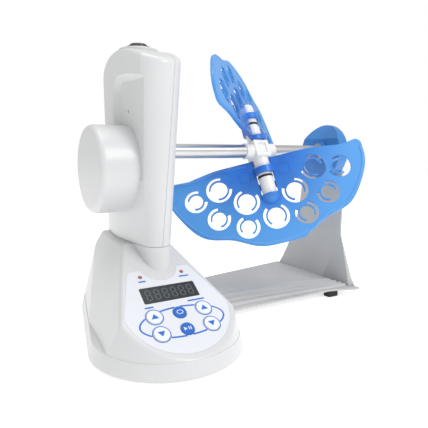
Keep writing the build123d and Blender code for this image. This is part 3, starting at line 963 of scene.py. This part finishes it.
# ---- stand --------------------------------------------------------------------------------
@dataclass
class StandRibs(Assembly):
    """Pressed ribs on the plate and the crease at the fold's front corner, in machine mm."""

    plate_top: float = 10.0
    start_x: float = 62.0
    end_x: float = 268.0
    rib_height: float = 3.6
    rib_sink: float = 0.1
    rib_bend: float = 2.2
    ribs_across: tuple[tuple[float, float, float], ...] = (
        (-38, -46, 3.6), (-22, -39, 4.2), (-4, -30, 4.8), (16, -20, 5.2))
    fold_x: float = 277.0
    crease_foot: tuple[float, float] = (4, -53)
    crease_top: tuple[float, float] = (-29, 74)
    crease_depth: tuple[float, float] = (6, -50)
    crease_round: float = 0.8

    def build(self) -> None:
        """Make the ribs and the crease."""
        self.ribs()
        self.crease()

    def crease(self) -> None:
        """Flared front corner of the fold, a three-sided facet."""
        back, front = self.crease_foot
        depth, inner = self.crease_depth
        corners = [(self.fold_x, back, self.plate_top), (self.fold_x, front, self.plate_top),
                   (self.fold_x, *self.crease_top), (self.fold_x - depth, inner, self.plate_top)]
        Bench.clear()
        bpy.ops.mesh.primitive_cone_add(vertices=3, radius1=1, radius2=0, depth=1)
        facet = bpy.context.object
        facet.name = "fold_crease"
        for vertex, corner in zip(facet.data.vertices, corners):
            vertex.co = self.machine.at(*corner)
        Bench.outward(facet)
        Bench.bevel(facet, self.crease_round * MM)
        self.fit(facet, Matrix.Identity(4), "root", "stand_paint", PAINT)

    def ribs(self) -> None:
        """Low ribs that bend towards the front along the plate."""
        for number, (start_y, end_y, half) in enumerate(self.ribs_across, start=1):
            path = []
            for step in range(RIB_STEPS + 1):
                t = step / RIB_STEPS
                x = self.start_x + (self.end_x - self.start_x) * t
                y = start_y + (end_y - start_y) * t ** self.rib_bend
                path.append(self.machine.at(x, y, self.plate_top - self.rib_sink))
            rib = Bench.tube(f"plate_rib_{number}", path, (half * MM, self.rib_height * MM),
                             Vector((0, 0, 1)), False)
            self.fit(rib, Matrix.Identity(4), "root", "stand_paint", PAINT)


# ---- studio -------------------------------------------------------------------------------
@dataclass(frozen=True)
class Lamp:
    """One square soft lamp, in metres and watts."""

    name: str
    place: Point
    size: float
    power: float


@dataclass
class Studio:
    """Floor, lights and camera."""

    machine: Machine
    wardrobe: Wardrobe
    eye_mm: Point = (-169.3, -448.0, 180.0)
    heading: float = math.radians(30.8)
    dip: float = math.radians(7.6)
    lens: float = 37.85
    air_light: float = 0.60
    floor_size: float = 12.0
    floor_drop: float = 0.2 * MM
    aim: Point = (0, 0, 0.12)
    lamps: tuple[Lamp, ...] = (Lamp("key_light", (0.45, -1.2, 1.25), 0.7, 10.0),
                               Lamp("top_light", (-0.1, 0.1, 1.7), 1.0, 9.0))

    def build(self) -> None:
        """Set up the studio."""
        bpy.context.scene.view_settings.view_transform = "Standard"
        self.floor()
        self.lights()
        self.camera()

    def floor(self) -> None:
        """Plain pale floor."""
        Bench.clear()
        bpy.ops.mesh.primitive_plane_add(size=self.floor_size, location=(0, 0, -self.floor_drop))
        floor = bpy.context.object
        floor.name = "studio_floor"
        self.wardrobe.dress(floor, FLOOR)

    def lights(self) -> None:
        """Even light from the air all round, and soft lamps above and in front."""
        world = bpy.data.worlds.new("studio_air")
        bpy.context.scene.world = world
        world.use_nodes = True
        nodes, links = world.node_tree.nodes, world.node_tree.links
        background = nodes["Background"]
        background.inputs["Color"].default_value = (1, 1, 1, 1)
        rays = nodes.new("ShaderNodeLightPath")
        strength = nodes.new("ShaderNodeMapRange")
        strength.inputs["To Min"].default_value = self.air_light
        strength.inputs["To Max"].default_value = 1.0
        links.new(rays.outputs["Is Camera Ray"], strength.inputs["Value"])
        links.new(strength.outputs["Result"], background.inputs["Strength"])
        for lamp in self.lamps:
            data = bpy.data.lights.new(lamp.name, "AREA")
            data.size = lamp.size
            data.energy = lamp.power
            light = bpy.data.objects.new(lamp.name, data)
            light.location = lamp.place
            towards = Vector(self.aim) - Vector(lamp.place)
            light.rotation_euler = towards.to_track_quat("-Z", "Y").to_euler()
            bpy.context.collection.objects.link(light)

    def camera(self) -> None:
        """Camera at the usual three-quarter view from the front left."""
        data = bpy.data.cameras.new("view_camera")
        data.sensor_width = 36.0
        data.lens = self.lens
        camera = bpy.data.objects.new("view_camera", data)
        camera.location = self.machine.at(*self.eye_mm)
        forward = Vector((math.sin(self.heading) * math.cos(self.dip),
                          math.cos(self.heading) * math.cos(self.dip), -math.sin(self.dip)))
        camera.rotation_euler = forward.to_track_quat("-Z", "Y").to_euler()
        bpy.context.collection.objects.link(camera)
        bpy.context.scene.camera = camera


def dress_frame(frame: dict, wardrobe: Wardrobe) -> None:
    """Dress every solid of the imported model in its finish.

    Args:
        frame: the loaded frame.
        wardrobe: where the materials are kept.
    """
    for finish, names in NODE_FINISHES.items():
        for name in names:
            wardrobe.dress(frame["nodes"][name], finish)
            log.info("dressed %s in %s", name, finish.name)


def main() -> None:
    """Build the looks around the frame."""
    logging.basicConfig(level=logging.INFO, format="%(message)s")
    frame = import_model()
    wardrobe = Wardrobe()
    machine = Machine()
    dress_frame(frame, wardrobe)
    ControlPanel(machine, wardrobe).build()
    for side in Side:
        FanTrim(machine, wardrobe, side=side).build()
    StandRibs(machine, wardrobe).build()
    Studio(machine, wardrobe).build()


if __name__ == "__main__":
    main()
